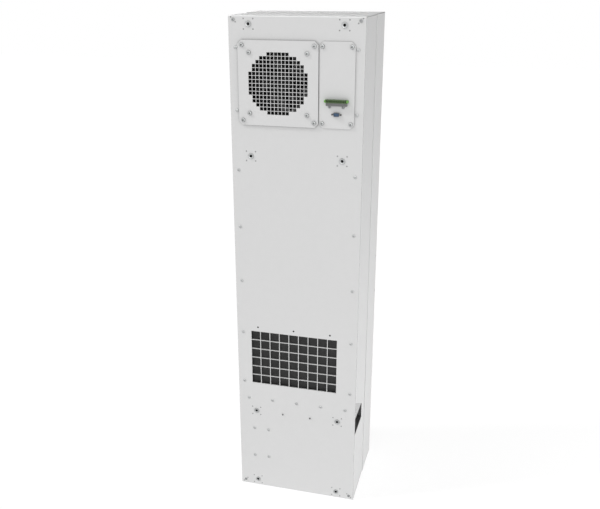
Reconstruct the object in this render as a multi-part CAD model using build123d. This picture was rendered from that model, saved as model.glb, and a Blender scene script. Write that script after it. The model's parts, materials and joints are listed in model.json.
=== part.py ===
from build123d import *
import math
import os

# Enclosure air conditioner that hangs on a cabinet wall or door.
# Millimetres. +X runs to the right of someone who faces the mounting face,
# +Y runs from the mounting face into the unit and +Z is up. The origin lies on
# the flat bottom, half way across the width and half way through the depth.

# Housing
WIDTH = 400.0
HEIGHT = 1585.0
BASE_DEPTH = 172.0
COVER_DEPTH = 128.0
PANEL_DEPTH = 16.0
SHEET = 2.0
BASE_WALL = 1.2
BEND_RADIUS = 3.0
COVER_LAP = 10.0
BULKHEAD_THICKNESS = 2.0

FACE_Y = -(BASE_DEPTH + COVER_DEPTH + PANEL_DEPTH) / 2
INNER_FACE_Y = FACE_Y + SHEET
SEAM_Y = FACE_Y + BASE_DEPTH
BULKHEAD_Y = SEAM_Y - BULKHEAD_THICKNESS
COVER_END_Y = SEAM_Y + COVER_DEPTH
BACK_Y = COVER_END_Y + PANEL_DEPTH
LAP_END_Y = SEAM_Y + COVER_LAP
SIDE_INNER_X = WIDTH / 2 - BASE_WALL
COVER_HALF_WIDTH = WIDTH / 2 + SHEET
COVER_TOP_Z = HEIGHT + SHEET

# Fan guard: a shallow raised tray with a round field of square holes
GUARD_X = -52.6
GUARD_FROM_TOP = 187.9
GUARD_Z = HEIGHT - GUARD_FROM_TOP
GUARD_WIDTH = 240.0
GUARD_HEIGHT = 243.0
GUARD_RAISE = 4.0
GUARD_SHEET = 1.5
GUARD_CORNER = 11.0
GUARD_HOLE = 8.9
GUARD_PITCH = 11.16
GUARD_ROWS = 16
GUARD_FIELD_PITCHES = 8.0
GUARD_POCKET = 198.0

# Supply fan behind the guard
FAN_FRAME = 206.0
FAN_FRAME_CORNER = 46.0
FAN_DUCT_WALL = 12.0
FAN_DUCT_RADIUS = FAN_FRAME / 2 - FAN_DUCT_WALL
FAN_BORE_MARGIN = 3.0
FAN_BORE_RADIUS = FAN_DUCT_RADIUS + FAN_BORE_MARGIN
FAN_TIP_CLEARANCE = 3.0
FAN_HUB_RADIUS = 38.0
FAN_HUB_DEPTH = 34.0
FAN_SETBACK = 12.0
FAN_BLADES = 5
FAN_MOTOR_RADIUS = 34.0
FAN_MOTOR_DEPTH = 10.0
FAN_STRUT_WIDTH = 8.0
FAN_STRUT_DEPTH = 6.0
FAN_FRAME_DEPTH = FAN_SETBACK + FAN_HUB_DEPTH + FAN_MOTOR_DEPTH + FAN_STRUT_DEPTH

# Blades of both fan rotors
BLADE_THICKNESS = 2.4
BLADE_PITCH = 32.0
BLADE_DEPTH_SHARE = 0.9
BLADE_ROOT_SHARE = 0.9

# Connector plate beside the guard
CONNECTOR_X = 121.4
CONNECTOR_WIDTH = 103.0
CONNECTOR_THICKNESS = 2.0
CONNECTOR_BAY_WIDTH = 82.0
CONNECTOR_BAY_HEIGHT = 150.0
CONNECTOR_BAY_Z = GUARD_Z - 20.0

# Plug-in terminal strip
TERMINAL_X = CONNECTOR_X
TERMINAL_BELOW_GUARD_CENTRE = 46.6
TERMINAL_BOTTOM_Z = GUARD_Z - TERMINAL_BELOW_GUARD_CENTRE
TERMINAL_HEIGHT = 8.9
TERMINAL_DEPTH = 12.0
TERMINAL_POLES = 12
TERMINAL_PITCH = 5.08
TERMINAL_END_WIDTH = 4.6
TERMINAL_END_HEIGHT = 7.8
TERMINAL_END_RADIUS = 3.7
TERMINAL_ENTRY_WIDTH = 3.6
TERMINAL_ENTRY_HEIGHT = 5.4
TERMINAL_ENTRY_DEPTH = 6.0
CARRIER_HEIGHT = 9.1
CARRIER_DEPTH = 7.0

# Nine-way data socket
SOCKET_X = CONNECTOR_X
SOCKET_BELOW_GUARD_CENTRE = 80.6
SOCKET_Z = GUARD_Z - SOCKET_BELOW_GUARD_CENTRE
SOCKET_FLANGE_WIDTH = 30.8
SOCKET_FLANGE_HEIGHT = 12.5
SOCKET_FLANGE_THICKNESS = 1.0
SOCKET_SHELL_WIDTH = 18.4
SOCKET_SHELL_HEIGHT = 10.6
SOCKET_SHELL_SLOPE = 10.0
SOCKET_SHELL_DEPTH = 6.0
SOCKET_SHELL_WALL = 0.8
SOCKET_CORNER = 1.6
SOCKET_INSERT_RECESS = 1.0
SOCKET_CUT_MARGIN = 0.3

# Air outlet: a lattice of square cells in the mounting face
OUTLET_X = -9.0
OUTLET_Z = 503.5
OUTLET_COLUMNS = 9
OUTLET_ROWS = 6
OUTLET_CELL = 30.0
OUTLET_BAR = 2.1
OUTLET_FLANGE = 12.0
OUTLET_FLANGE_THICKNESS = 2.0
OUTLET_CLEARANCE = 0.2

# Small hexagonal insert seats in a row above the outlet
INSERT_ACROSS = 4.4
INSERT_Z = 614.0
INSERT_SPACING = 120.3

# Threaded mounting bushes
BUSH_X = 140.0
BUSH_FROM_BOTTOM = 23.3
BUSH_FROM_TOP = 22.7
BUSH_UNDER_TRAY_Z = 300.6
BUSH_BELOW_GUARD_CENTRE = 216.1
BUSH_RIM_RADIUS = 8.5
BUSH_RIM_HEIGHT = 0.8
BUSH_BODY_ACROSS = 14.0
BUSH_BORE_RADIUS = 4.25
BUSH_LENGTH = 18.0
BUSH_BORE_DEPTH = 15.0
BUSH_CLEARANCE = 0.1
BUSH_ROWS = (
    BUSH_FROM_BOTTOM,
    BUSH_UNDER_TRAY_Z,
    GUARD_Z - BUSH_BELOW_GUARD_CENTRE,
    HEIGHT - BUSH_FROM_TOP,
)

# Side port: a notch in the front edge of each base side wall
PORT_BOTTOM_Z = 257.5
PORT_DEPTH = 121.4
PORT_REAR_TOP_Z = 311.0
PORT_FRONT_TOP_Z = 381.0

# Condensate tray, evaporator and machine compartment
TRAY_BOTTOM_Z = 314.5
TRAY_HEIGHT = 77.0
TRAY_WALL = 1.5
EVAPORATOR_GAP = 12.0
EVAPORATOR_DEPTH = 46.0
EVAPORATOR_HEIGHT = 400.0
EVAPORATOR_SIDE_GAP = 6.0
CHAMBER_GAP = 24.0
CHAMBER_SHOULDER_Z = 231.0
CHAMBER_CORE_WIDTH = 256.0
CHAMBER_WALL = 2.0

# Outer side: three trays that close the cover
PANEL_GAP = 3.0
PANEL_EDGE_RADIUS = 4.0
PANEL_WALL = 2.5
CENTRE_BOTTOM_Z = 657.0
CENTRE_TOP_Z = 785.0
COVER_FLANGE = 16.0
COVER_RAIL = 36.0

# Louvres
LOUVRE_WIDTH = 300.0
LOUVRE_SLOT = 12.0
LOUVRE_PITCH = 28.0
LOUVRE_BLADE = 17.0
LOUVRE_BLADE_THICKNESS = 1.6
LOUVRE_TILT = 35.0
LOWER_LOUVRES = 18
UPPER_LOUVRES = 11

# Condenser and its fan on the outer side
CONDENSER_MARGIN = 24.0
CONDENSER_DEPTH = 44.0
OUTER_FAN_FROM_TOP = 255.0
OUTER_FAN_Z = HEIGHT - OUTER_FAN_FROM_TOP
OUTER_FAN_PLATE = 2.0
OUTER_FAN_RADIUS = 132.0
OUTER_FAN_HUB_RADIUS = 48.0
OUTER_FAN_HUB_DEPTH = 28.0
OUTER_FAN_SETBACK = 8.0
OUTER_FAN_BLADES = 5
OUTER_FAN_BRACKET = 64.0
OUTER_FAN_FOOT = 112.0
OUTER_FAN_FOOT_THICKNESS = 2.0


def block(x0, x1, y0, y1, z0, z1):
    """A box between two corners."""
    centre = Pos((x0 + x1) / 2, (y0 + y1) / 2, (z0 + z1) / 2)
    return centre * Box(x1 - x0, y1 - y0, z1 - z0)


def wall_disc(radius, x, z, y0, y1):
    """A cylinder whose axis runs along Y from y0 to y1."""
    return Pos(x, (y0 + y1) / 2, z) * Rot(90, 0, 0) * Cylinder(radius, y1 - y0)


def wall_prism(outline, x, z, y0, y1):
    """An outline drawn in the mounting face's plane, pushed from y0 to y1."""
    return extrude(Plane.XZ.offset(-y0) * Pos(x, z) * outline, y0 - y1)


def cut_corner_plate(width, height, x, z, y0, y1, corner):
    """An upright plate with cut corners, from y0 to y1."""
    outline = chamfer(Rectangle(width, height).vertices(), corner)
    return wall_prism(outline, x, z, y0, y1)


def outlet_size():
    """Width and height of the opening that the outlet lattice fills."""
    pitch = OUTLET_CELL + OUTLET_BAR
    return OUTLET_COLUMNS * pitch - OUTLET_BAR, OUTLET_ROWS * pitch - OUTLET_BAR


def hexagon(across):
    """A hexagon, sized across its flats."""
    return RegularPolygon(across / 2, 6, major_radius=False)


def mounting_panel():
    """Front sheet, folded back over the top and under the bottom."""
    outline = Polyline(
        (SEAM_Y, 0),
        (FACE_Y, 0),
        (FACE_Y, HEIGHT),
        (LAP_END_Y, HEIGHT),
        (LAP_END_Y, HEIGHT - SHEET),
        (INNER_FACE_Y, HEIGHT - SHEET),
        (INNER_FACE_Y, SHEET),
        (SEAM_Y, SHEET),
        close=True,
    )
    profile = make_face(outline)
    outer_bends = [v for v in profile.vertices() if abs(v.X - FACE_Y) < SHEET / 2]
    profile = fillet(outer_bends, BEND_RADIUS)
    inner_bends = [v for v in profile.vertices() if abs(v.X - INNER_FACE_Y) < SHEET / 4]
    profile = fillet(inner_bends, BEND_RADIUS - SHEET)
    sheet = extrude(Plane.YZ * profile, WIDTH / 2, both=True)

    y0, y1 = FACE_Y - SHEET, INNER_FACE_Y + SHEET
    bay = Rectangle(CONNECTOR_BAY_WIDTH, CONNECTOR_BAY_HEIGHT)
    cuts = [
        wall_disc(FAN_BORE_RADIUS, GUARD_X, GUARD_Z, y0, y1),
        wall_prism(bay, CONNECTOR_X, CONNECTOR_BAY_Z, y0, y1),
        wall_prism(Rectangle(*outlet_size()), OUTLET_X, OUTLET_Z, y0, y1),
    ]
    bush_seat = hexagon(BUSH_BODY_ACROSS + 2 * BUSH_CLEARANCE)
    for z in BUSH_ROWS:
        cuts.append(wall_prism(bush_seat, -BUSH_X, z, y0, y1))
        cuts.append(wall_prism(bush_seat, BUSH_X, z, y0, y1))
    for step in (-1, 0, 1):
        place = OUTLET_X + step * INSERT_SPACING
        cuts.append(wall_prism(hexagon(INSERT_ACROSS), place, INSERT_Z, y0, y1))
    return sheet - cuts


def base_side(side):
    """Side wall of the base, with the port cut into its front edge."""
    x0 = min(side * SIDE_INNER_X, side * WIDTH / 2)
    wall = block(x0, x0 + BASE_WALL, INNER_FACE_Y, LAP_END_Y, SHEET, HEIGHT - SHEET)
    front_edges = wall.edges().filter_by(Axis.X).group_by(Axis.Y)[0]
    wall = chamfer(front_edges, BEND_RADIUS - SHEET)
    port = make_face(
        Polyline(
            (FACE_Y, PORT_BOTTOM_Z),
            (FACE_Y + PORT_DEPTH, PORT_BOTTOM_Z),
            (FACE_Y + PORT_DEPTH, PORT_REAR_TOP_Z),
            (FACE_Y, PORT_FRONT_TOP_Z),
            close=True,
        )
    )
    cutter = extrude(Plane.YZ.offset(x0 - BASE_WALL) * port, BASE_WALL * 3)
    return wall - cutter


def outlet_grille():
    """Square-celled lattice, flush in the panel, with a flange behind it."""
    width, height = outlet_size()
    fitted = Rectangle(width - 2 * OUTLET_CLEARANCE, height - 2 * OUTLET_CLEARANCE)
    insert = wall_prism(fitted, OUTLET_X, OUTLET_Z, FACE_Y, INNER_FACE_Y)
    flange_end = INNER_FACE_Y + OUTLET_FLANGE_THICKNESS
    overlapping = Rectangle(width + 2 * OUTLET_FLANGE, height + 2 * OUTLET_FLANGE)
    flange = wall_prism(overlapping, OUTLET_X, OUTLET_Z, INNER_FACE_Y, flange_end)
    pitch = OUTLET_CELL + OUTLET_BAR
    cells = GridLocations(pitch, pitch, OUTLET_COLUMNS, OUTLET_ROWS)
    windows = Sketch() + cells * Rectangle(OUTLET_CELL, OUTLET_CELL)
    return insert + flange - wall_prism(windows, OUTLET_X, OUTLET_Z, FACE_Y, flange_end)


def guard_holes():
    """Outline of the square holes that lie inside the round field."""
    centres = []
    middle = (GUARD_ROWS - 1) / 2
    for row in range(GUARD_ROWS):
        for column in range(GUARD_ROWS):
            across, up = column - middle, row - middle
            if math.hypot(across, up) < GUARD_FIELD_PITCHES:
                centres.append((across * GUARD_PITCH, up * GUARD_PITCH))
    return Sketch() + Locations(*centres) * Rectangle(GUARD_HOLE, GUARD_HOLE)


def fan_guard():
    """Raised plate over the fan, hollowed behind its perforated field."""
    front = FACE_Y - GUARD_RAISE
    plate = cut_corner_plate(
        GUARD_WIDTH, GUARD_HEIGHT, GUARD_X, GUARD_Z, front, FACE_Y, GUARD_CORNER
    )
    pocket = Rectangle(GUARD_POCKET, GUARD_POCKET)
    plate -= wall_prism(pocket, GUARD_X, GUARD_Z, front + GUARD_SHEET, FACE_Y)
    return plate - wall_prism(guard_holes(), GUARD_X, GUARD_Z, front, front + GUARD_SHEET)


def fan_frame():
    """Square frame of the supply fan with cut corners and a round duct."""
    end = INNER_FACE_Y + FAN_FRAME_DEPTH
    frame = cut_corner_plate(
        FAN_FRAME, FAN_FRAME, GUARD_X, GUARD_Z, INNER_FACE_Y, end, FAN_FRAME_CORNER
    )
    return frame - wall_disc(FAN_DUCT_RADIUS, GUARD_X, GUARD_Z, INNER_FACE_Y, end)


def rotor(hub_radius, hub_depth, tip_radius, blades):
    """Axial rotor about Y: a round hub and pitched blades, centred on the origin."""
    pitch = math.radians(BLADE_PITCH)
    chord = BLADE_DEPTH_SHARE * hub_depth / math.sin(pitch)
    root = hub_radius * BLADE_ROOT_SHARE
    tip = math.sqrt(tip_radius**2 - (chord * math.cos(pitch) / 2) ** 2)
    blade = Rot(BLADE_PITCH, 0, 0) * Box(tip - root, BLADE_THICKNESS, chord)
    blade = Pos((root + tip) / 2, 0, 0) * blade
    wheel = Rot(90, 0, 0) * Cylinder(hub_radius, hub_depth)
    for index in range(blades):
        wheel += Rot(0, index * 360 / blades, 0) * blade
    return wheel


def fan_rotor():
    """Rotor of the supply fan."""
    tip = FAN_DUCT_RADIUS - FAN_TIP_CLEARANCE
    middle = INNER_FACE_Y + FAN_SETBACK + FAN_HUB_DEPTH / 2
    return Pos(GUARD_X, middle, GUARD_Z) * rotor(FAN_HUB_RADIUS, FAN_HUB_DEPTH, tip, FAN_BLADES)


def fan_motor():
    """Motor of the supply fan, on crossed struts behind it that reach the duct's wall."""
    front = INNER_FACE_Y + FAN_SETBACK + FAN_HUB_DEPTH
    back = front + FAN_MOTOR_DEPTH
    motor = wall_disc(FAN_MOTOR_RADIUS, GUARD_X, GUARD_Z, front, back)
    strut_end = back + FAN_STRUT_DEPTH
    bar = Rectangle(3 * FAN_DUCT_RADIUS, FAN_STRUT_WIDTH)
    cross = wall_prism(Rot(0, 0, 45) * bar + Rot(0, 0, -45) * bar, GUARD_X, GUARD_Z, back, strut_end)
    cross &= wall_disc(FAN_DUCT_RADIUS, GUARD_X, GUARD_Z, back, strut_end)
    return motor + cross


def socket_outline(shrink):
    """The D shape of the data socket, wider at its top."""
    return offset(
        fillet(
            Trapezoid(
                SOCKET_SHELL_WIDTH,
                SOCKET_SHELL_HEIGHT,
                90 - SOCKET_SHELL_SLOPE,
                rotation=180,
            ).vertices(),
            SOCKET_CORNER + SOCKET_SHELL_WALL,
        ),
        -shrink,
    )


def socket_prism(shrink, y0, y1):
    """The socket's D shape as a prism from y0 to y1."""
    return wall_prism(socket_outline(shrink), SOCKET_X, SOCKET_Z, y0, y1)


def connector_plate():
    """Plate beside the guard, cut out for the terminal strip and the socket."""
    front = FACE_Y - CONNECTOR_THICKNESS
    plate = cut_corner_plate(
        CONNECTOR_WIDTH, GUARD_HEIGHT, CONNECTOR_X, GUARD_Z, front, FACE_Y, GUARD_CORNER
    )
    return plate - socket_prism(-SOCKET_CUT_MARGIN, front, FACE_Y)


def terminal_header():
    """Green body of the terminal strip with one wire entry for each pole."""
    back = FACE_Y - CONNECTOR_THICKNESS
    front = back - TERMINAL_DEPTH
    middle = TERMINAL_BOTTOM_Z + TERMINAL_HEIGHT / 2
    outline = Rectangle(TERMINAL_POLES * TERMINAL_PITCH, TERMINAL_HEIGHT)
    poles = GridLocations(TERMINAL_PITCH, 1, TERMINAL_POLES, 1)
    entries = Sketch() + poles * Rectangle(TERMINAL_ENTRY_WIDTH, TERMINAL_ENTRY_HEIGHT)
    body = wall_prism(outline, TERMINAL_X, middle, front, back)
    return body - wall_prism(entries, TERMINAL_X, middle, front, front + TERMINAL_ENTRY_DEPTH)


def terminal_ends():
    """Bright ends with round outer corners that lock the terminal strip."""
    back = FACE_Y - CONNECTOR_THICKNESS
    middle = TERMINAL_BOTTOM_Z + TERMINAL_HEIGHT / 2
    reach = (TERMINAL_POLES * TERMINAL_PITCH + TERMINAL_END_WIDTH) / 2
    ends = []
    for side in (-1, 1):
        outline = Rectangle(TERMINAL_END_WIDTH, TERMINAL_END_HEIGHT)
        outer_corners = outline.vertices().filter_by(lambda v: v.X * side > 0)
        outline = fillet(outer_corners, TERMINAL_END_RADIUS)
        place = TERMINAL_X + side * reach
        ends.append(wall_prism(outline, place, middle, back - TERMINAL_DEPTH, back))
    return Compound(children=ends)


def terminal_carrier():
    """Grey carrier under the terminal strip, as wide as its green body."""
    back = FACE_Y - CONNECTOR_THICKNESS
    outline = Rectangle(TERMINAL_POLES * TERMINAL_PITCH, CARRIER_HEIGHT)
    middle = TERMINAL_BOTTOM_Z - CARRIER_HEIGHT / 2
    return wall_prism(outline, TERMINAL_X, middle, back - CARRIER_DEPTH, back)


def socket_shell():
    """Flange behind the plate and D-shaped collar of the data socket."""
    back = FACE_Y + SOCKET_FLANGE_THICKNESS
    front = FACE_Y - CONNECTOR_THICKNESS - SOCKET_SHELL_DEPTH
    outline = Rectangle(SOCKET_FLANGE_WIDTH, SOCKET_FLANGE_HEIGHT)
    flange = wall_prism(outline, SOCKET_X, SOCKET_Z, FACE_Y, back)
    return flange + socket_prism(0, front, FACE_Y) - socket_prism(SOCKET_SHELL_WALL, front, back)


def socket_insert():
    """Blue insulator inside the socket's collar."""
    front = FACE_Y - CONNECTOR_THICKNESS - SOCKET_SHELL_DEPTH + SOCKET_INSERT_RECESS
    return socket_prism(SOCKET_SHELL_WALL, front, FACE_Y + SOCKET_FLANGE_THICKNESS)


def mounting_bush(x, z):
    """Threaded bush: a low round rim and a hexagonal body closed at its inner end."""
    front = FACE_Y - BUSH_RIM_HEIGHT
    rim = wall_disc(BUSH_RIM_RADIUS, x, z, front, FACE_Y)
    body = wall_prism(hexagon(BUSH_BODY_ACROSS), x, z, FACE_Y, FACE_Y + BUSH_LENGTH)
    return rim + body - wall_disc(BUSH_BORE_RADIUS, x, z, front, FACE_Y + BUSH_BORE_DEPTH)


def bush_pair(z):
    """The left and right bush of one row."""
    return Compound(children=[mounting_bush(-BUSH_X, z), mounting_bush(BUSH_X, z)])


def drip_tray():
    """Open tray under the evaporator; its sides lie against the base walls."""
    tray = block(
        -SIDE_INNER_X, SIDE_INNER_X, INNER_FACE_Y, BULKHEAD_Y, TRAY_BOTTOM_Z, TRAY_BOTTOM_Z + TRAY_HEIGHT
    )
    return offset(tray, -TRAY_WALL, openings=tray.faces().sort_by(Axis.Z)[-1])


def evaporator_core():
    """Cooling coil that stands in the tray behind the outlet."""
    half = SIDE_INNER_X - TRAY_WALL - EVAPORATOR_SIDE_GAP
    front = INNER_FACE_Y + EVAPORATOR_GAP
    bottom = TRAY_BOTTOM_Z + TRAY_WALL
    return block(-half, half, front, front + EVAPORATOR_DEPTH, bottom, bottom + EVAPORATOR_HEIGHT)


def machine_chamber():
    """Closed machine housing below the tray, stepped back behind both ports."""
    front = FACE_Y + CHAMBER_GAP
    lower = block(-SIDE_INNER_X, SIDE_INNER_X, front, BULKHEAD_Y, SHEET, CHAMBER_SHOULDER_Z)
    core = block(
        -CHAMBER_CORE_WIDTH / 2, CHAMBER_CORE_WIDTH / 2, front, BULKHEAD_Y, SHEET, TRAY_BOTTOM_Z
    )
    back = block(
        -SIDE_INNER_X, SIDE_INNER_X, BULKHEAD_Y - CHAMBER_WALL, BULKHEAD_Y, SHEET, TRAY_BOTTOM_Z
    )
    return lower + core + back


def bulkhead():
    """Wall between the cabinet air side and the room air side."""
    return block(-SIDE_INNER_X, SIDE_INNER_X, BULKHEAD_Y, SEAM_Y, SHEET, HEIGHT - SHEET)


def cover_wrap():
    """Folded wrap over the outer half, with a flange and two rails at its end."""
    shell = block(-COVER_HALF_WIDTH, COVER_HALF_WIDTH, SEAM_Y, COVER_END_Y, 0, COVER_TOP_Z)
    shell = fillet(shell.edges().filter_by(Axis.Y).group_by(Axis.Z)[-1], SHEET)
    hollow = block(-WIDTH / 2, WIDTH / 2, SEAM_Y, COVER_END_Y - SHEET, SHEET, HEIGHT)
    window_x = COVER_HALF_WIDTH - COVER_FLANGE
    shell -= hollow
    for low, high in cover_windows():
        shell -= block(-window_x, window_x, COVER_END_Y - SHEET, COVER_END_Y, low, high)
    return shell


def cover_windows():
    """Lower and upper limits of the three openings between flange and rails."""
    lower_rail = CENTRE_BOTTOM_Z - COVER_RAIL / 2
    upper_rail = CENTRE_TOP_Z - COVER_RAIL / 2
    return [
        (COVER_FLANGE, lower_rail),
        (lower_rail + COVER_RAIL, upper_rail),
        (upper_rail + COVER_RAIL, COVER_TOP_Z - COVER_FLANGE),
    ]


def panel_tray(bottom, top):
    """Shallow tray with rounded outer edges, open towards the cover."""
    tray = block(-COVER_HALF_WIDTH, COVER_HALF_WIDTH, COVER_END_Y, BACK_Y, bottom, top)
    outer = tray.faces().sort_by(Axis.Y)[-1]
    tray = fillet(outer.edges(), PANEL_EDGE_RADIUS)
    hollow = block(
        -COVER_HALF_WIDTH + PANEL_WALL,
        COVER_HALF_WIDTH - PANEL_WALL,
        COVER_END_Y,
        BACK_Y - PANEL_WALL,
        bottom + PANEL_WALL,
        top - PANEL_WALL,
    )
    return tray - hollow


def add_louvres(panel, count, middle_z):
    """Cut a column of slots and set a drip blade behind each of them."""
    tilt = math.radians(LOUVRE_TILT)
    reach = LOUVRE_BLADE * math.cos(tilt) / 2
    rise = LOUVRE_BLADE * math.sin(tilt) / 2 - LOUVRE_BLADE_THICKNESS
    blade = Rot(-LOUVRE_TILT, 0, 0) * Box(LOUVRE_WIDTH, LOUVRE_BLADE, LOUVRE_BLADE_THICKNESS)
    first_z = middle_z - (count - 1) * LOUVRE_PITCH / 2
    slots = []
    blades = []
    for index in range(count):
        bottom = first_z + index * LOUVRE_PITCH - LOUVRE_SLOT / 2
        slots.append(
            block(
                -LOUVRE_WIDTH / 2,
                LOUVRE_WIDTH / 2,
                BACK_Y - PANEL_WALL,
                BACK_Y,
                bottom,
                bottom + LOUVRE_SLOT,
            )
        )
        blades.append(Pos(0, BACK_Y - PANEL_WALL / 2 - reach, bottom + rise) * blade)
    return panel - slots + blades


def lower_louvre_panel():
    """Outer tray over the condenser."""
    top = CENTRE_BOTTOM_Z - PANEL_GAP / 2
    return add_louvres(panel_tray(0, top), LOWER_LOUVRES, top / 2)


def centre_panel():
    """Plain outer tray between the two louvred ones."""
    return panel_tray(CENTRE_BOTTOM_Z + PANEL_GAP / 2, CENTRE_TOP_Z - PANEL_GAP / 2)


def upper_louvre_panel():
    """Outer tray over the room-side fan."""
    tray = panel_tray(CENTRE_TOP_Z + PANEL_GAP / 2, COVER_TOP_Z)
    return add_louvres(tray, UPPER_LOUVRES, OUTER_FAN_Z)


def condenser_core():
    """Finned coil behind the lower louvres, against the cover's flange."""
    low, high = cover_windows()[0]
    half = WIDTH / 2 - COVER_FLANGE / 2
    back = COVER_END_Y - SHEET
    margin = COVER_FLANGE / 2
    return block(-half, half, back - CONDENSER_DEPTH, back, low - margin, high + margin)


def outer_fan_plate():
    """Plate with the room-side fan's round opening behind the upper louvres."""
    low, high = cover_windows()[2]
    half = WIDTH / 2 - COVER_FLANGE / 2
    back = COVER_END_Y - SHEET
    margin = COVER_FLANGE / 2
    front = back - OUTER_FAN_PLATE
    plate = block(-half, half, front, back, low - margin, high + margin)
    return plate - wall_disc(OUTER_FAN_RADIUS, 0, OUTER_FAN_Z, front, back)


def outer_fan_rotor():
    """Rotor of the room-side fan."""
    tip = OUTER_FAN_RADIUS - FAN_TIP_CLEARANCE
    middle = COVER_END_Y - SHEET - OUTER_FAN_SETBACK - OUTER_FAN_HUB_DEPTH / 2
    wheel = rotor(OUTER_FAN_HUB_RADIUS, OUTER_FAN_HUB_DEPTH, tip, OUTER_FAN_BLADES)
    return Pos(0, middle, OUTER_FAN_Z) * Rot(0, 0, 180) * wheel


def outer_fan_bracket():
    """Square post and foot that carry the room-side fan on the bulkhead."""
    end = COVER_END_Y - SHEET - OUTER_FAN_SETBACK - OUTER_FAN_HUB_DEPTH
    foot_end = SEAM_Y + OUTER_FAN_FOOT_THICKNESS
    foot = Rectangle(OUTER_FAN_FOOT, OUTER_FAN_FOOT)
    post = Rectangle(OUTER_FAN_BRACKET, OUTER_FAN_BRACKET)
    bracket = wall_prism(foot, 0, OUTER_FAN_Z, SEAM_Y, foot_end)
    return bracket + wall_prism(post, 0, OUTER_FAN_Z, foot_end, end)


def parts():
    """Every piece by name."""
    pieces = {
        "mounting_panel": mounting_panel(),
        "base_side_left": base_side(-1),
        "base_side_right": base_side(1),
        "outlet_grille": outlet_grille(),
        "fan_guard": fan_guard(),
        "fan_frame": fan_frame(),
        "fan_rotor": fan_rotor(),
        "fan_motor": fan_motor(),
        "connector_plate": connector_plate(),
        "terminal_header": terminal_header(),
        "terminal_ends": terminal_ends(),
        "terminal_carrier": terminal_carrier(),
        "socket_shell": socket_shell(),
        "socket_insert": socket_insert(),
        "drip_tray": drip_tray(),
        "evaporator_core": evaporator_core(),
        "machine_chamber": machine_chamber(),
        "bulkhead": bulkhead(),
        "cover_wrap": cover_wrap(),
        "lower_louvre_panel": lower_louvre_panel(),
        "centre_panel": centre_panel(),
        "upper_louvre_panel": upper_louvre_panel(),
        "condenser_core": condenser_core(),
        "outer_fan_plate": outer_fan_plate(),
        "outer_fan_rotor": outer_fan_rotor(),
        "outer_fan_bracket": outer_fan_bracket(),
    }
    for row, z in enumerate(BUSH_ROWS):
        pieces[f"mounting_bushes_{row + 1}"] = bush_pair(z)
    return pieces


os.makedirs("parts", exist_ok=True)
for name, piece in parts().items():
    export_step(piece, f"parts/{name}.step")
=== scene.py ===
"""Looks of the enclosure air conditioner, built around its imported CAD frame."""

import json
import math

import bmesh
import bpy
from mathutils import Matrix, Vector

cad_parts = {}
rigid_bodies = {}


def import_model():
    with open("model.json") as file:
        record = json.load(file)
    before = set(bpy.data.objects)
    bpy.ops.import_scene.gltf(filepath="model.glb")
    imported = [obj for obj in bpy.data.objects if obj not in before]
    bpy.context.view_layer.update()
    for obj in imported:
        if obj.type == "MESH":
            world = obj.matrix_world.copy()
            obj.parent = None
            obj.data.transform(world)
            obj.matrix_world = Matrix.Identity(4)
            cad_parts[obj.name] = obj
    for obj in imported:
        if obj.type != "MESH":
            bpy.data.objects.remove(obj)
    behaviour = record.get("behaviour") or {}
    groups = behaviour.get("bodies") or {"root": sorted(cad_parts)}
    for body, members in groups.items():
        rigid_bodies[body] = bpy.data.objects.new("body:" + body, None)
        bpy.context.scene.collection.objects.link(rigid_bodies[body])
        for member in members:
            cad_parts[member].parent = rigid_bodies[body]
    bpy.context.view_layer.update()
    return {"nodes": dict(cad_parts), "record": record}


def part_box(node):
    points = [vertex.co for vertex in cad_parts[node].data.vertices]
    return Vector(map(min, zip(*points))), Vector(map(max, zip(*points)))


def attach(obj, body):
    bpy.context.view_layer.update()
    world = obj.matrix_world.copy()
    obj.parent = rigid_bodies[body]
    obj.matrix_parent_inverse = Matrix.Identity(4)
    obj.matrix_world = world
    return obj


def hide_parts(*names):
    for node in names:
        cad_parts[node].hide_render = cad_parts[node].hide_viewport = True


# Lengths are in millimetres, and in metres for the camera, the floor and the lamps
MM = 0.001
BODY = "root"

# Camera, solved from the housing's straight edges
CAMERA_PLACE = (0.57794, -2.28232, 1.67617)
CAMERA_YAW = -14.902
CAMERA_PITCH = 19.912
CAMERA_LENS = 45.28
CAMERA_SENSOR = 36.0
CAMERA_CLIP = (0.05, 100.0)

# Riveted seams of the mounting panel
RIVET_RADIUS = 4.9
RIVET_COLUMN_X = 180.0
RIVET_COLUMN_FIRST_Z = 411.4
RIVET_COLUMN_PITCH = 180.95
RIVET_COLUMN_COUNT = 7
RIVET_ROW_Z = 348.0
RIVET_ROW_PITCH = 82.9
RIVET_LOW_X = (-149.0, -98.8)
RIVET_LOW_Z = (230.6, 122.0)

# Signs of the four corners of a square
CORNERS = ((-1, -1), (-1, 1), (1, -1), (1, 1))

# Screws of the guard and of the fan behind it, from the guard's centre, and of the
# connector plate
GUARD_SCREW_REACH = 107.6
FAN_SCREW_REACH = 86.6
CONNECTOR_SCREW_X = (78.6, 162.9)

# Pan heads: radius, height, half the width of the hexagon socket, and steps around
PLATE_SCREW = (6.1, 3.6, 2.5, 36)
CORNER_SCREW = (4.6, 1.8, 1.7, 28)
CARRIER_SCREW = (4.2, 3.0, 1.8, 28)

# Corner fasteners, bushes, and the weld marks beside both
CORNER_X = 185.3
CORNER_FROM_EDGE = (15.0, 11.0)
CORNER_MARK_REACH = 6.6
BUSH_X = 140.0
BUSH_MARK_REACH = 14.3
BUSH_COLLAR_RADIUS = 8.45
BUSH_BORE_RADIUS = 4.25
MARK_RADIUS = 2.1

# Threads in the bushes, with a slack that keeps them clear of the bores, and the rings in
# each turn
THREAD_SLACK = 0.05
THREAD_DEPTH = 0.7
THREAD_PITCH = 1.5
THREAD_TURNS = 9
THREAD_LEVELS = 4
THREAD_STEPS = 24

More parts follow.
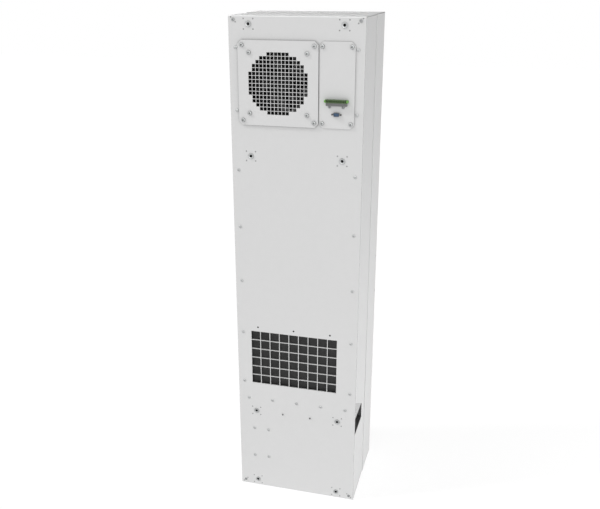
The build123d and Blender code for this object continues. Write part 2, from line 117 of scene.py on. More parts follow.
# Round inserts in the three seats above the outlet
INSERT_Z = 614.0
INSERT_SPACING = 120.3
INSERT_FLANGE_RADIUS = 2.8
INSERT_BORE_RADIUS = 2.0

# Locating pins
PIN_X = 47.0
PIN_Z = 299.5
PIN_RADIUS = 1.75
PIN_LENGTH = 4.5

# Connectors
TERMINAL_POLES = 12
TERMINAL_PITCH = 5.08
TERMINAL_SCREW_RADIUS = 1.6
TERMINAL_CHEEK_STEPS = 10
TERMINAL_RIB_HALF = 0.3
TERMINAL_RIB_DEPTH = 1.0
TERMINAL_RIB_RISE = 0.5
CARRIER_SCREW_X = (100.6, 140.3)
CARRIER_SCREW_DROP = 3.7
JACKSCREW_SPACING = 25.0
CONTACT_PITCH = 2.77
CONTACT_ROW_GAP = 2.84

# Coils
FIN_PITCH = 2.6
FIN_THICKNESS = 0.5
FIN_DEPTH = 2.0
FIN_INSET = 2.0

# Fan wheels. A blade's root is a share of the hub's radius, its depth a share of the
# wheel's, its pitch in degrees at root and tip, its sweep the widest angle that it takes up
# in radians, and its edge the share of it where the section is blunt.
SUPPLY_HUB_RADIUS = 38.0
OUTER_HUB_RADIUS = 48.0
BLADES = 5
BLADE_ROOT = 0.95
BLADE_DEPTH = 0.86
BLADE_PITCH = (52, 28)
BLADE_SWEEP = 1.1
BLADE_CAMBER = 0.09
BLADE_LEAN = 0.25
BLADE_THICKNESS = 2.0
BLADE_EDGE = 0.06
BLADE_ROWS = 9
BLADE_COLUMNS = 11

# Outer trays: their screws, and the seals in the joints between them
TRAYS = ("lower_louvre_panel", "centre_panel", "upper_louvre_panel")
TRAY_SCREW_INSET = 14.0
SEAL_SLACK = 0.1
SEAL_SET_BACK = 1.0
SEAL_INSET = 0.3
SEAL_NOSE_STEPS = 8

# Pieces whose seams get almost no painted corner shade
SEAM_NODES = ("base_side_left", "base_side_right", "cover_wrap", *TRAYS)

# Paint of the housing and plates, and what all materials share
PAINT = (0.70, 0.70, 0.70)
NOISE_ROUGHNESS = 0.55
# Painted shade in corners, darker where nearby surfaces shelter a place
SHELTER_SAMPLES = 8
SHELTER_START = 0.45

# Painted shade and highlights laid over the paint. Each pair says at which depths a tone is full
# and gone, in millimetres behind a front, below a top or inside a side.

# Painted shade on the tops, as a share of the paint's own tone
TOP_SHADE = 0.84
TOP_SHADE_DROPS = (0.0, 0.3)

# Painted highlight on the bend over the top of the mounting panel
BEND_HIGHLIGHT_COLOUR = (0.96, 0.96, 0.96)
BEND_HIGHLIGHT_DROPS = (1.8, 2.4)
BEND_HIGHLIGHT_DEPTHS = (1.2, 3.0)

# Painted shade along both side edges of the mounting panel and along the bends at the sides of the
# cover's top
EDGE_SHADE_COLOUR = (0.25, 0.25, 0.25)
PANEL_EDGE_DEPTHS = (0.02, 0.12)
COVER_BEND_DEPTHS = (1.3, 1.6)
COVER_BEND_DROPS = (2.2, 2.3)

# Painted shade on the cut faces of the guard's holes and of the outlet lattice
CUT_DEPTHS = (0.15, 0.05)
CUT_FACE_SHADE_COLOUR = (0.42, 0.42, 0.42)

# Punched holes of the guard: their field, and the painted shade on their rolled edges that
# leaves a narrow pale core on each web
HOLE_PITCH = 11.16
HOLE_FIELD_PITCHES = 8.0
WEB_CORE_HALF = 0.68
WEB_CORE_BLUR = 0.05
HOLE_SHADE_COLOUR = (0.08, 0.08, 0.08)

# Floor and dome. The floor has a grey and a glow for the light that it sends to the object,
# and others for the camera.
FLOOR_HALF = 14.0
FLOOR_FOR_LIGHT = (0.45, 0.40)
FLOOR_FOR_CAMERA = (0.25, 0.84)
DOME = 0.42


def start_clean():
    """Empty the scene before the frame is loaded."""
    for thing in list(bpy.data.objects):
        bpy.data.objects.remove(thing)


def middle(node):
    """Centre of a CAD node's box."""
    low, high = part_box(node)
    return (low + high) / 2


def on_face(rows, x, z, y):
    """Place on an upright face; x and z are in millimetres, y in metres."""
    spot = Matrix.Translation((x * MM, y, z * MM))
    return spot @ Matrix(rows).to_4x4() @ Matrix.Scale(MM, 4)


def on_front(x, z, y):
    """Place whose own Z points out of the mounting face."""
    return on_face(((1, 0, 0), (0, 0, -1), (0, 1, 0)), x, z, y)


def on_back(x, z, y):
    """Place whose own Z points out of the outer side."""
    return on_face(((-1, 0, 0), (0, 0, 1), (0, 1, 0)), x, z, y)


def on_top(x, y, z):
    """Place whose own Z points up; all three in millimetres."""
    return Matrix.Translation((x * MM, y * MM, z * MM)) @ Matrix.Scale(MM, 4)


def hexagon(apothem):
    """Radius of a hexagon by angle, sized by half its width across flats."""
    return lambda angle: apothem / math.cos((angle + math.pi / 6) % (math.pi / 3) - math.pi / 6)


def skin(bm, loops, closed=True):
    """Faces from each loop of corners to the next; a closed loop ends where it starts."""
    for first, second in zip(loops, loops[1:]):
        for index in range(len(first) if closed else len(first) - 1):
            after = (index + 1) % len(first)
            bm.faces.new((first[index], first[after], second[after], second[index]))


def turned(bm, rings, place, steps, hollow=False):
    """Skin a stack of rings, each a radius (a number or a function of the angle) and a height.

    The stack is capped at both ends, or hollow, where its last ring joins its first.
    """
    loops = []
    for radius, height in rings:
        loop = []
        for index in range(steps):
            angle = math.tau * index / steps
            reach = radius(angle) if callable(radius) else radius
            point = Vector((reach * math.cos(angle), reach * math.sin(angle), height))
            loop.append(bm.verts.new(place @ point))
        loops.append(loop)
    if hollow:
        skin(bm, loops + loops[:1])
        return
    skin(bm, loops)
    bm.faces.new(list(reversed(loops[0])))
    bm.faces.new(loops[-1])


def bar(bm, low, high):
    """A box between two corners, in metres."""
    size = Vector(high) - Vector(low)
    centre = (Vector(high) + Vector(low)) / 2
    place = Matrix.Translation(centre) @ Matrix.Diagonal((*size, 1.0))
    bmesh.ops.create_cube(bm, size=1.0, matrix=place)


def piece(name, bm, material, smooth_angle=35.0):
    """Turn a finished bmesh into an object that rides on the frame."""
    mesh = bpy.data.meshes.new(name)
    bmesh.ops.recalc_face_normals(bm, faces=bm.faces)
    bm.to_mesh(mesh)
    bm.free()
    mesh.shade_smooth()
    mesh.set_sharp_from_angle(angle=math.radians(smooth_angle))
    mesh.materials.append(material)
    made = bpy.data.objects.new(name, mesh)
    bpy.context.scene.collection.objects.link(made)
    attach(made, BODY)
    return made


# Materials


class Shader:
    """A node material under construction, with short calls for the nodes used here."""

    def __init__(self, name):
        self.material = bpy.data.materials.new(name)
        self.material.use_nodes = True
        self.nodes = self.material.node_tree.nodes
        self.links = self.material.node_tree.links
        self.surface = self.nodes["Principled BSDF"]
        self.place = self.nodes.new("ShaderNodeTexCoord").outputs["Object"]

    def link(self, source, target):
        """Join an output to an input."""
        self.links.new(source, target)

    def noise(self, scale, detail):
        """Cloudy noise in the object's own space."""
        node = self.nodes.new("ShaderNodeTexNoise")
        node.inputs["Scale"].default_value = scale
        node.inputs["Detail"].default_value = detail
        node.inputs["Roughness"].default_value = NOISE_ROUGHNESS
        self.link(self.place, node.inputs["Vector"])
        return node.outputs["Fac"]

    def lines(self, pitch):
        """Fine upright lines at a real pitch in metres, which is tau / 20 at a scale of 1."""
        node = self.nodes.new("ShaderNodeTexWave")
        node.inputs["Scale"].default_value = math.tau / 20.0 / pitch
        node.inputs["Distortion"].default_value = 0.0
        self.link(self.place, node.inputs["Vector"])
        return node.outputs["Fac"]

    def ramp(self, factor, low, high):
        """Map a factor of 0 to 1 onto a range of numbers."""
        node = self.nodes.new("ShaderNodeMapRange")
        node.inputs["To Min"].default_value = low
        node.inputs["To Max"].default_value = high
        self.link(factor, node.inputs["Value"])
        return node.outputs["Result"]

    def colours(self, factor, low, high):
        """Blend two colours by a factor."""
        node = self.nodes.new("ShaderNodeMix")
        node.data_type = "RGBA"
        node.inputs["A"].default_value = (*low, 1.0)
        node.inputs["B"].default_value = (*high, 1.0)
        self.link(factor, node.inputs["Factor"])
        return node.outputs["Result"]

    def between(self, value, start, stop):
        """0 to 1 while a value runs from start to stop."""
        node = self.nodes.new("ShaderNodeMapRange")
        node.inputs["From Min"].default_value = start
        node.inputs["From Max"].default_value = stop
        self.link(value, node.inputs["Value"])
        return node.outputs["Result"]

    def part(self, axis, vector=None):
        """One part of a vector, or of the place on the object."""
        parts = self.nodes.new("ShaderNodeSeparateXYZ")
        self.link(vector or self.place, parts.inputs[0])
        return parts.outputs[axis]

    def along(self, axis, start, stop):
        """0 to 1 along an axis of the object, between two places in metres."""
        return self.between(self.part(axis), start, stop)

    def across(self, start, stop):
        """0 to 1 while the distance from the middle of the width runs from start to stop."""
        node = self.nodes.new("ShaderNodeMath")
        node.operation = "ABSOLUTE"
        self.link(self.part("X"), node.inputs[0])
        return self.between(node.outputs[0], start, stop)

    def larger(self, first, second):
        """The larger of two factors."""
        node = self.nodes.new("ShaderNodeMath")
        node.operation = "MAXIMUM"
        self.link(first, node.inputs[0])
        self.link(second, node.inputs[1])
        return node.outputs[0]

    def vector(self, operation, first, second):
        """Vector arithmetic on a socket and three plain numbers."""
        node = self.nodes.new("ShaderNodeVectorMath")
        node.operation = operation
        self.link(first, node.inputs[0])
        node.inputs[1].default_value = second
        return node.outputs["Value" if operation == "DISTANCE" else "Vector"]

    def web_cores(self, centre, pitch, half):
        """1 along the middles of the webs between square holes, 0 beside them."""
        from_centre = self.vector("SUBTRACT", self.place, centre)
        cores = []
        for axis in ("X", "Z"):
            nearest = self.nodes.new("ShaderNodeMath")
            nearest.operation = "PINGPONG"
            nearest.inputs[1].default_value = pitch / 2
            self.link(self.part(axis, from_centre), nearest.inputs[0])
            edges = half * (1 + WEB_CORE_BLUR), half * (1 - WEB_CORE_BLUR)
            cores.append(self.between(nearest.outputs[0], *edges))
        return self.larger(*cores)

    def outside_field(self, centre, pitch, reach):
        """0 in the cells whose middles lie within reach of a centre, 1 in the others."""
        from_centre = self.vector("SUBTRACT", self.place, centre)
        cell = self.vector("SNAP", from_centre, (pitch, 0, pitch))
        distance = self.vector("DISTANCE", cell, (-pitch / 2, 0, -pitch / 2))
        return self.between(distance, reach - 0.01 * pitch, reach)

    def blend(self, factor, colour, tone):
        """A plain colour at 0, a tone made of other nodes at 1."""
        node = self.nodes.new("ShaderNodeMix")
        node.data_type = "RGBA"
        node.inputs["A"].default_value = (*colour, 1.0)
        self.link(tone, node.inputs["B"])
        self.link(factor, node.inputs["Factor"])
        return node.outputs["Result"]

    def painted_shade_in_corners(self, tone, corner_shade, reach):
        """Painted shade: darken a tone where another surface is near, but not where the floor is.
        """
        shelter = self.nodes.new("ShaderNodeAmbientOcclusion")
        shelter.samples = SHELTER_SAMPLES
        shelter.inputs["Distance"].default_value = reach
        openness = self.between(shelter.outputs["AO"], SHELTER_START, 1.0)
        foot = self.along("Z", 2 * reach, reach)
        return self.blend(self.larger(openness, foot), corner_shade, tone)

    def bump(self, height, distance, strength, onto=None):
        """A normal bumped by a height, maybe on top of another bump."""
        node = self.nodes.new("ShaderNodeBump")
        node.inputs["Distance"].default_value = distance
        node.inputs["Strength"].default_value = strength
        self.link(height, node.inputs["Height"])
        if onto is not None:
            self.link(onto, node.inputs["Normal"])
        return node.outputs["Normal"]

    def finish(self, colour, roughness, normal, metallic=0.0, specular=0.5):
        """Wire the surface and hand over the material."""
        surface = self.surface
        self.link(colour, surface.inputs["Base Color"])
        self.link(roughness, surface.inputs["Roughness"])
        self.link(normal, surface.inputs["Normal"])
        surface.inputs["Metallic"].default_value = metallic
        surface.inputs["Specular IOR Level"].default_value = specular
        return self.material


def shade(colour, factor):
    """A colour made lighter or darker."""
    return tuple(channel * factor for channel in colour)


def below(edge, depths):
    """Places at two depths below a top or inside a side, in metres."""
    return [edge - depth * MM for depth in depths]


def behind(front, depths):
    """Places at two depths behind a front, in metres."""
    return [front + depth * MM for depth in depths]


def painted_top_shade(shader, tone, top):
    """Painted shade: darken the faces that lie at the height of a top."""
    top_shade_fade = shader.along("Z", *below(top, TOP_SHADE_DROPS))
    return shader.blend(top_shade_fade, shade(PAINT, TOP_SHADE), tone)


def face_painted_light(shader, tone):
    """Painted shade on the mounting panel's top, a painted highlight on the bend there, and painted
    shade along both side edges.
    """
    low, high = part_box("mounting_panel")
    tone = painted_top_shade(shader, tone, high.z)
    under = shader.along("Z", *below(high.z, BEND_HIGHLIGHT_DROPS))
    back = shader.along("Y", *behind(low.y, BEND_HIGHLIGHT_DEPTHS))
    tone = shader.blend(shader.larger(under, back), BEND_HIGHLIGHT_COLOUR, tone)
    inside = shader.across(*below(high.x, PANEL_EDGE_DEPTHS))
    return shader.blend(inside, EDGE_SHADE_COLOUR, tone)


def cover_painted_shade(shader, tone):
    """Painted shade on the cover's top and along the bends at both its sides."""
    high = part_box("cover_wrap")[1]
    tone = painted_top_shade(shader, tone, high.z)
    inside = shader.across(*below(high.x, COVER_BEND_DEPTHS))
    under = shader.along("Z", *below(high.z, COVER_BEND_DROPS))
    return shader.blend(shader.larger(inside, under), EDGE_SHADE_COLOUR, tone)


def guard_hole_shade(shader, tone):
    """Painted shade on the rolled edges of the guard's holes and on their cut faces."""
    centre, front = middle("fan_guard"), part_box("fan_guard")[0].y
    pitch = HOLE_PITCH * MM
    outside = shader.outside_field(centre, pitch, HOLE_FIELD_PITCHES * pitch)
    cores = shader.web_cores(centre, pitch, WEB_CORE_HALF * MM)
    uncut = shader.along("Y", *behind(front, CUT_DEPTHS))
    for painted in (cores, uncut):
        tone = shader.blend(shader.larger(outside, painted), HOLE_SHADE_COLOUR, tone)
    return tone


def grille_cut_shade(shader, tone):
    """Painted shade on the cut faces behind the painted front of the outlet lattice."""
    uncut = shader.along("Y", *behind(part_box("outlet_grille")[0].y, CUT_DEPTHS))
    return shader.blend(uncut, CUT_FACE_SHADE_COLOUR, tone)


def powder_coat(name, texture, corner_shade=0.7, reach=0.007, painted_light_layer=None, colour=PAINT):
    """Painted sheet with an orange-peel skin, faint clouding, painted shade in its corners and
    maybe more painted light laid on.
    """
    shader = Shader(name)
    clouds = shader.noise(45.0, 4.0)
    skin = shader.noise(750.0, 2.0)
    grain = shader.noise(2600.0, 2.0)
    tone = shader.colours(clouds, shade(colour, 0.985), shade(colour, 1.015))
    tone = shader.painted_shade_in_corners(tone, shade(colour, corner_shade), reach)
    if painted_light_layer is not None:
        tone = painted_light_layer(shader, tone)
    gloss = shader.ramp(skin, 0.50, 0.62)
    normal = shader.bump(skin, 0.00008 * texture, 0.5)
    normal = shader.bump(grain, 0.00003 * texture, 0.5, normal)
    return shader.finish(tone, gloss, normal, specular=0.2)


def moulded_plastic(name, colour, specular=0.4):
    """Moulded plastic with a fine spark-eroded grain."""
    shader = Shader(name)
    clouds = shader.noise(120.0, 3.0)
    grain = shader.noise(4200.0, 2.0)
    tone = shader.colours(clouds, shade(colour, 0.9), shade(colour, 1.1))
    gloss = shader.ramp(grain, 0.42, 0.58)
    return shader.finish(tone, gloss, shader.bump(grain, 0.00003, 0.6), specular=specular)


def plated_steel(name, colour, crevice_shade=0.45):
    """Plated steel: cloudy sheen, fine rolling marks and painted shade in its corners."""
    shader = Shader(name)
    clouds = shader.noise(260.0, 4.0)
    scratches = shader.noise(3000.0, 2.0)
    tone = shader.colours(clouds, shade(colour, 0.88), shade(colour, 1.08))
    tone = shader.painted_shade_in_corners(tone, shade(colour, crevice_shade), 0.004)
    gloss = shader.ramp(clouds, 0.38, 0.55)
    return shader.finish(tone, gloss, shader.bump(scratches, 0.00002, 0.5), metallic=0.7)


def coated_fins(name, colour):
    """Dark coated coil block whose fins show as fine upright lines."""
    shader = Shader(name)
    lines = shader.lines(FIN_PITCH * MM)
    clouds = shader.noise(60.0, 3.0)
    tone = shader.colours(clouds, shade(colour, 0.9), shade(colour, 1.1))
    gloss = shader.ramp(clouds, 0.5, 0.7)
    return shader.finish(tone, gloss, shader.bump(lines, 0.0004, 0.4), specular=0.2)


def dark_sheet(name, colour):
    """Dull grey sheet with a cloudy, dirty variation."""
    shader = Shader(name)
    clouds = shader.noise(30.0, 4.0)
    grain = shader.noise(1500.0, 2.0)
    tone = shader.colours(clouds, shade(colour, 0.8), shade(colour, 1.2))
    gloss = shader.ramp(clouds, 0.55, 0.75)
    return shader.finish(tone, gloss, shader.bump(grain, 0.00004, 0.5), specular=0.2)


def make_materials():
    """Materials for the slots of the record, and for pieces that differ from them."""
    # The corner shade and reach of each paint set its painted shade round the parts near it
    return {
        "seam_paint": powder_coat("seam_paint", 1.0, corner_shade=0.97, painted_light_layer=cover_painted_shade),
        "face_paint": powder_coat("face_paint", 1.0, corner_shade=0.5, reach=0.04, painted_light_layer=face_painted_light),
        "guard_paint": powder_coat("guard_paint", 0.6, corner_shade=0.6, reach=0.015, painted_light_layer=guard_hole_shade),
        "grille_paint": powder_coat("grille_paint", 0.6, painted_light_layer=grille_cut_shade),
        "connector_paint": powder_coat("connector_paint", 0.6, corner_shade=0.75, reach=0.03),
        "tray_paint": powder_coat("tray_paint", 0.6, colour=(0.52, 0.52, 0.52)),
        "fan_black": moulded_plastic("fan_black", (0.012, 0.012, 0.012), 0.15),
        "terminal_green": moulded_plastic("terminal_green", (0.075, 0.135, 0.045)),
        "terminal_bright_green": moulded_plastic("terminal_bright_green", (0.15, 0.37, 0.07)),
        "carrier_grey": moulded_plastic("carrier_grey", (0.17, 0.17, 0.17)),
        "socket_blue": moulded_plastic("socket_blue", (0.045, 0.10, 0.19)),
        "zinc": plated_steel("zinc", (0.50, 0.51, 0.51)),
        "dark_nickel": plated_steel("dark_nickel", (0.12, 0.12, 0.12)),
        "coil_dark": coated_fins("coil_dark", (0.066, 0.066, 0.066)),
        "inner_sheet": dark_sheet("inner_sheet", (0.40, 0.40, 0.40)),
        "rivet_grey": plated_steel("rivet_grey", (0.50, 0.51, 0.51), 0.3),
        "screw_grey": plated_steel("screw_grey", (0.43, 0.44, 0.44), 0.35),
        "corner_grey": plated_steel("corner_grey", (0.32, 0.33, 0.33)),
        # Weld marks: a dark grey that paints the shade in their dimples
        "mark_grey": dark_sheet("mark_grey", (0.28, 0.28, 0.28)),
        "dark_steel": plated_steel("dark_steel", (0.03, 0.03, 0.03)),
    }


def dress_nodes(frame, materials):
    """Give every CAD node the procedural material of its slot, or its own one."""
    own = {
        "mounting_panel": "face_paint",
        "fan_guard": "guard_paint",
        "outlet_grille": "grille_paint",
        "connector_plate": "connector_paint",
    }
    own.update({node: "seam_paint" for node in SEAM_NODES})
    for subpart in frame["record"]["subparts"]:
        node = subpart["node"]
        mesh = frame["nodes"][node].data
        mesh.materials.clear()
        mesh.materials.append(materials[own.get(node, subpart["material_slot"])])


# Fasteners


def blind_rivet(bm, place):
    """Domed blind rivet with its broken mandrel sunk in the middle."""
    dome = (
        (RIVET_RADIUS, 0.0),
        (RIVET_RADIUS, 0.3),
        (RIVET_RADIUS * 0.9, 0.95),
        (RIVET_RADIUS * 0.7, 1.4),
        (RIVET_RADIUS * 0.5, 1.55),
        (RIVET_RADIUS * 0.36, 1.45),
        (RIVET_RADIUS * 0.31, 1.1),
        (RIVET_RADIUS * 0.3, 0.5),
    )
    turned(bm, dome, place, 28)
    mandrel = ((1.15, 0.4), (1.15, 0.85), (0.8, 1.0))
    turned(bm, mandrel, place, 12)


def pan_screw(bm, place, head):
    """Pan head with a hexagon socket."""
    radius, height, socket, steps = head
    depth = height * 0.6
    rings = (
        (radius, 0.0),
        (radius, height * 0.55),
        (radius * 0.97, height * 0.75),
        (radius * 0.88, height * 0.93),
        (radius * 0.72, height),
        (hexagon(socket * 1.08), height),
        (hexagon(socket), height - 0.2),
        (hexagon(socket), height - depth),
    )
    turned(bm, rings, place, steps)


def weld_mark(bm, place):
    """Small round dimple with a low burr."""
    rings = (
        (MARK_RADIUS, 0.0),
        (MARK_RADIUS * 0.95, 0.12),
        (MARK_RADIUS * 0.7, 0.14),
        (MARK_RADIUS * 0.45, 0.03),
    )
    turned(bm, rings, place, 16)


def rivet_places():
    """X and Z of every blind rivet of the mounting panel."""
    places = []
    for index in range(RIVET_COLUMN_COUNT):
        z = RIVET_COLUMN_FIRST_Z + index * RIVET_COLUMN_PITCH
        places += [(-RIVET_COLUMN_X, z), (RIVET_COLUMN_X, z)]
    places += [(step * RIVET_ROW_PITCH, RIVET_ROW_Z) for step in range(-2, 3)]
    places += [(x, z) for x in RIVET_LOW_X for z in RIVET_LOW_Z]
    return places


def corner_places():
    """X, Z and the outward signs of the four corner fasteners."""
    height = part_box("mounting_panel")[1].z / MM
    levels = {-1: CORNER_FROM_EDGE[0], 1: height - CORNER_FROM_EDGE[1]}
    return [(side * CORNER_X, levels[up], side, up) for side, up in CORNERS]


def bush_places():
    """X and Z of the mounting bushes, read from their CAD nodes."""
    rows = [middle(f"mounting_bushes_{row}").z / MM for row in (1, 2, 3, 4)]
    return [(side * BUSH_X, z) for z in rows for side in (-1, 1)]


def add_rivets(materials, face):
    """Blind rivets along the seams of the mounting panel."""
    bm = bmesh.new()
    for x, z in rivet_places():
        blind_rivet(bm, on_front(x, z, face))
    piece("panel_rivets", bm, materials["rivet_grey"])


def add_corner_fasteners(materials, face):
    """Pan-head screws in the four corners of the mounting panel."""
    bm = bmesh.new()
    for x, z, _, _ in corner_places():
        pan_screw(bm, on_front(x, z, face), CORNER_SCREW)
    piece("corner_fasteners", bm, materials["corner_grey"])


def add_weld_marks(materials, face):
    """Four marks round each bush, and two beside each corner fastener, in a dark grey that paints
    the shade in their dimples.
    """
    bm = bmesh.new()
    reach = BUSH_MARK_REACH
    for x, z in bush_places():
        for across, up in CORNERS:
            weld_mark(bm, on_front(x + across * reach, z + up * reach, face))
    for x, z, side, up in corner_places():
        for way in (-1, 1):
            reach = way * CORNER_MARK_REACH
            weld_mark(bm, on_front(x + side * reach, z + up * reach, face))
    piece("weld_marks", bm, materials["mark_grey"])


def add_bush_collars(materials):
    """Countersunk lips on the rims of the bushes."""
    bm = bmesh.new()
    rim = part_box("mounting_bushes_1")[0].y
    outer, bore = BUSH_COLLAR_RADIUS, BUSH_BORE_RADIUS
    rings = (
        (outer, 0.0),
        (outer, 0.5),
        (outer - 0.35, 0.9),
        (outer - 1.0, 1.0),
        (bore + 0.5, 0.15),
        (bore + 0.1, 0.0),
    )
    for x, z in bush_places():
        turned(bm, rings, on_front(x, z, rim), 40, hollow=True)
    piece("bush_collars", bm, materials["screw_grey"])


def thread_point(turn, depth):
    """A point of a thread at a share of a turn and a depth, in millimetres."""
    phase = (depth / THREAD_PITCH - turn) % 1.0
    root = BUSH_BORE_RADIUS - THREAD_SLACK
    radius = root - THREAD_DEPTH * (1 - abs(2 * phase - 1))
    angle = math.tau * turn
    return Vector((radius * math.cos(angle), radius * math.sin(angle), -depth))


def add_bush_threads(materials):
    """Dark threaded sleeves inside the bores."""
    bm = bmesh.new()
    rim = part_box("mounting_bushes_1")[0].y
    turns = [index / THREAD_STEPS for index in range(THREAD_STEPS)]
    levels = range(THREAD_TURNS * THREAD_LEVELS + 1)
    depths = [level * THREAD_PITCH / THREAD_LEVELS for level in levels]
    for x, z in bush_places():
        place = on_front(x, z, rim)
        loops = [
            [bm.verts.new(place @ thread_point(turn, depth)) for turn in turns] for depth in depths
        ]
        skin(bm, loops)
        bm.faces.new(loops[-1])
    piece("bush_threads", bm, materials["dark_steel"])


def add_plate_screws(materials):
    """Pan-head screws of the guard, the fan behind it and the connector plate."""
    guard, guard_front = middle("fan_guard") / MM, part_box("fan_guard")[0].y
    connector_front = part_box("connector_plate")[0].y
    bm = bmesh.new()
    for reach in (GUARD_SCREW_REACH, FAN_SCREW_REACH):
        for across, up in CORNERS:
            place = on_front(guard.x + across * reach, guard.z + up * reach, guard_front)
            pan_screw(bm, place, PLATE_SCREW)
    for x in CONNECTOR_SCREW_X:
        for up in (-1, 1):
            place = on_front(x, guard.z + up * GUARD_SCREW_REACH, connector_front)
            pan_screw(bm, place, PLATE_SCREW)
    piece("plate_screws", bm, materials["screw_grey"])


def add_seat_inserts(materials, face):
    """Small flanged black inserts, centred over the outlet."""
    bm = bmesh.new()
    flange, bore = INSERT_FLANGE_RADIUS, INSERT_BORE_RADIUS
    rings = (
        (flange, 0.0),
        (flange, 0.15),
        (flange * 0.9, 0.22),
        (bore * 1.15, 0.22),
        (bore, 0.1),
        (bore, -1.4),
    )
    for step in (-1, 0, 1):
        x = middle("outlet_grille").x / MM + step * INSERT_SPACING
        turned(bm, rings, on_front(x, INSERT_Z, face), 24)
    piece("seat_inserts", bm, materials["fan_black"])


def add_locating_pins(materials, face):
    """Two dark pins with rounded ends below the lower row of rivets."""
    bm = bmesh.new()
    rings = (
        (PIN_RADIUS, 0.0),
        (PIN_RADIUS, PIN_LENGTH * 0.75),
        (PIN_RADIUS * 0.8, PIN_LENGTH * 0.93),
        (PIN_RADIUS * 0.4, PIN_LENGTH),
    )
    for side in (-1, 1):
        turned(bm, rings, on_front(side * PIN_X, PIN_Z, face), 20)
    piece("locating_pins", bm, materials["dark_steel"])


# Connectors


def slotted_screw(bm, place, radius):
    """Cheese head whose slot is left between two half-round cheeks."""
    turned(bm, ((radius, 0.0), (radius, 0.25), (radius * 0.85, 0.35)), place, 20)
    reach, slot_half = radius * 0.8, radius * 0.16
    angles = [math.pi * index / TERMINAL_CHEEK_STEPS for index in range(TERMINAL_CHEEK_STEPS + 1)]
    for way in (-1, 1):
        cheek = [(reach * math.cos(a), way * max(reach * math.sin(a), slot_half)) for a in angles]
        low, high = (
            [bm.verts.new(place @ Vector((x, y, level))) for x, y in cheek] for level in (0.35, 0.6)
        )
        bm.faces.new(high)
        skin(bm, (low, high))


def add_terminal_details(materials):
    """Clamp screws on the strip's top and the steps between its poles."""
    low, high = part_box("terminal_header")
    centre = (low + high) / 2
    bm = bmesh.new()
    for index in range(TERMINAL_POLES):
        x = centre.x / MM + (index - (TERMINAL_POLES - 1) / 2) * TERMINAL_PITCH
        place = on_top(x, centre.y / MM, high.z / MM)
        slotted_screw(bm, place, TERMINAL_SCREW_RADIUS)
    piece("terminal_screws", bm, materials["zinc"])
    ribs = bmesh.new()
    half = TERMINAL_RIB_HALF * MM
    back, top = low.y + TERMINAL_RIB_DEPTH * MM, high.z + TERMINAL_RIB_RISE * MM
    for index in range(TERMINAL_POLES + 1):
        x = low.x + index * TERMINAL_PITCH * MM
        bar(ribs, (x - half, low.y, low.z), (x + half, back, top))
    piece("terminal_ribs", ribs, materials["terminal_green"])


def add_carrier_screws(materials):
    """Two screws that hold the terminals' carrier to the connector plate."""
    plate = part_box("connector_plate")[0].y
    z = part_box("terminal_carrier")[0].z / MM - CARRIER_SCREW_DROP
    bm = bmesh.new()
    for x in CARRIER_SCREW_X:
        pan_screw(bm, on_front(x, z, plate), CARRIER_SCREW)
    # The darker corner grey paints the shade under the terminal strip on these screws
    piece("carrier_screws", bm, materials["corner_grey"])


def add_socket_details(materials):
    """Jackscrews beside the data socket and the nine contacts in it."""
    centre = middle("socket_insert") / MM
    insert_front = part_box("socket_insert")[0].y
    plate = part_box("connector_plate")[0].y
    bm = bmesh.new()
    post = (
        (hexagon(2.3), 0.0),
        (hexagon(2.3), 3.6),
        (hexagon(2.0), 3.9),
        (1.3, 3.9),
        (1.25, 0.8),
    )
    for side in (-1, 1):
        place = on_front(centre.x + side * JACKSCREW_SPACING / 2, centre.z, plate)
        turned(bm, post, place, 36)
    piece("socket_jackscrews", bm, materials["dark_nickel"])
    contacts = bmesh.new()
    contact = ((0.75, 0.0), (0.75, 0.08), (0.45, 0.1), (0.4, 0.02))
    for count, up in ((5, 0.5), (4, -0.5)):
        for index in range(count):
            x = centre.x + (index - (count - 1) / 2) * CONTACT_PITCH
            place = on_front(x, centre.z + up * CONTACT_ROW_GAP, insert_front)
            turned(contacts, contact, place, 16)
    piece("socket_contacts", contacts, materials["dark_steel"])


# Coils and fans


def add_fins(name, node, front, materials):
    """Upright fins on the front of a coil, or on its back."""
    low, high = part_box(node)
    bm = bmesh.new()
    count = int((high.x - low.x) / (FIN_PITCH * MM)) - 1
    start = (low.x + high.x) / 2 - (count - 1) / 2 * FIN_PITCH * MM
    inset, half = FIN_INSET * MM, FIN_THICKNESS * MM / 2
    near, far = (low.y - FIN_DEPTH * MM, low.y) if front else (high.y, high.y + FIN_DEPTH * MM)
    for index in range(count):
        x = start + index * FIN_PITCH * MM
        bar(bm, (x - half, near, low.z + inset), (x + half, far, high.z - inset))
    piece(name, bm, materials["coil_dark"])


def blade_point(along, across, root, tip, depth):
    """A point on a fan blade's middle surface, as its radius, angle and height."""
    radius = root + (tip - root) * along
    root_pitch, tip_pitch = BLADE_PITCH
    pitch = math.radians(root_pitch + (tip_pitch - root_pitch) * along)
    chord = min(depth / math.sin(pitch), radius * BLADE_SWEEP)
    shift = (across - 0.5) * chord
    camber = BLADE_CAMBER * chord * (1 - (2 * across - 1) ** 2)
    around = shift * math.cos(pitch) - camber * math.sin(pitch)
    height = shift * math.sin(pitch) + camber * math.cos(pitch)
    return radius, around / radius + BLADE_LEAN * along**2, height


def blade_side(bm, place, turn, size, side):
    """Rows of corners on the upper or lower side of a blade, from its root to its tip."""
    rows = []
    for row in range(BLADE_ROWS):
        line = []
        for column in range(BLADE_COLUMNS):
            across = column / (BLADE_COLUMNS - 1)
            radius, angle, height = blade_point(row / (BLADE_ROWS - 1), across, *size)
            fullness = math.sin(math.pi * min(max(across, BLADE_EDGE), 1 - BLADE_EDGE))
            height += side * BLADE_THICKNESS / 2 * fullness
            angle += turn
            point = Vector((radius * math.cos(angle), radius * math.sin(angle), height))
            line.append(bm.verts.new(place @ point))
        rows.append(line)
    return rows


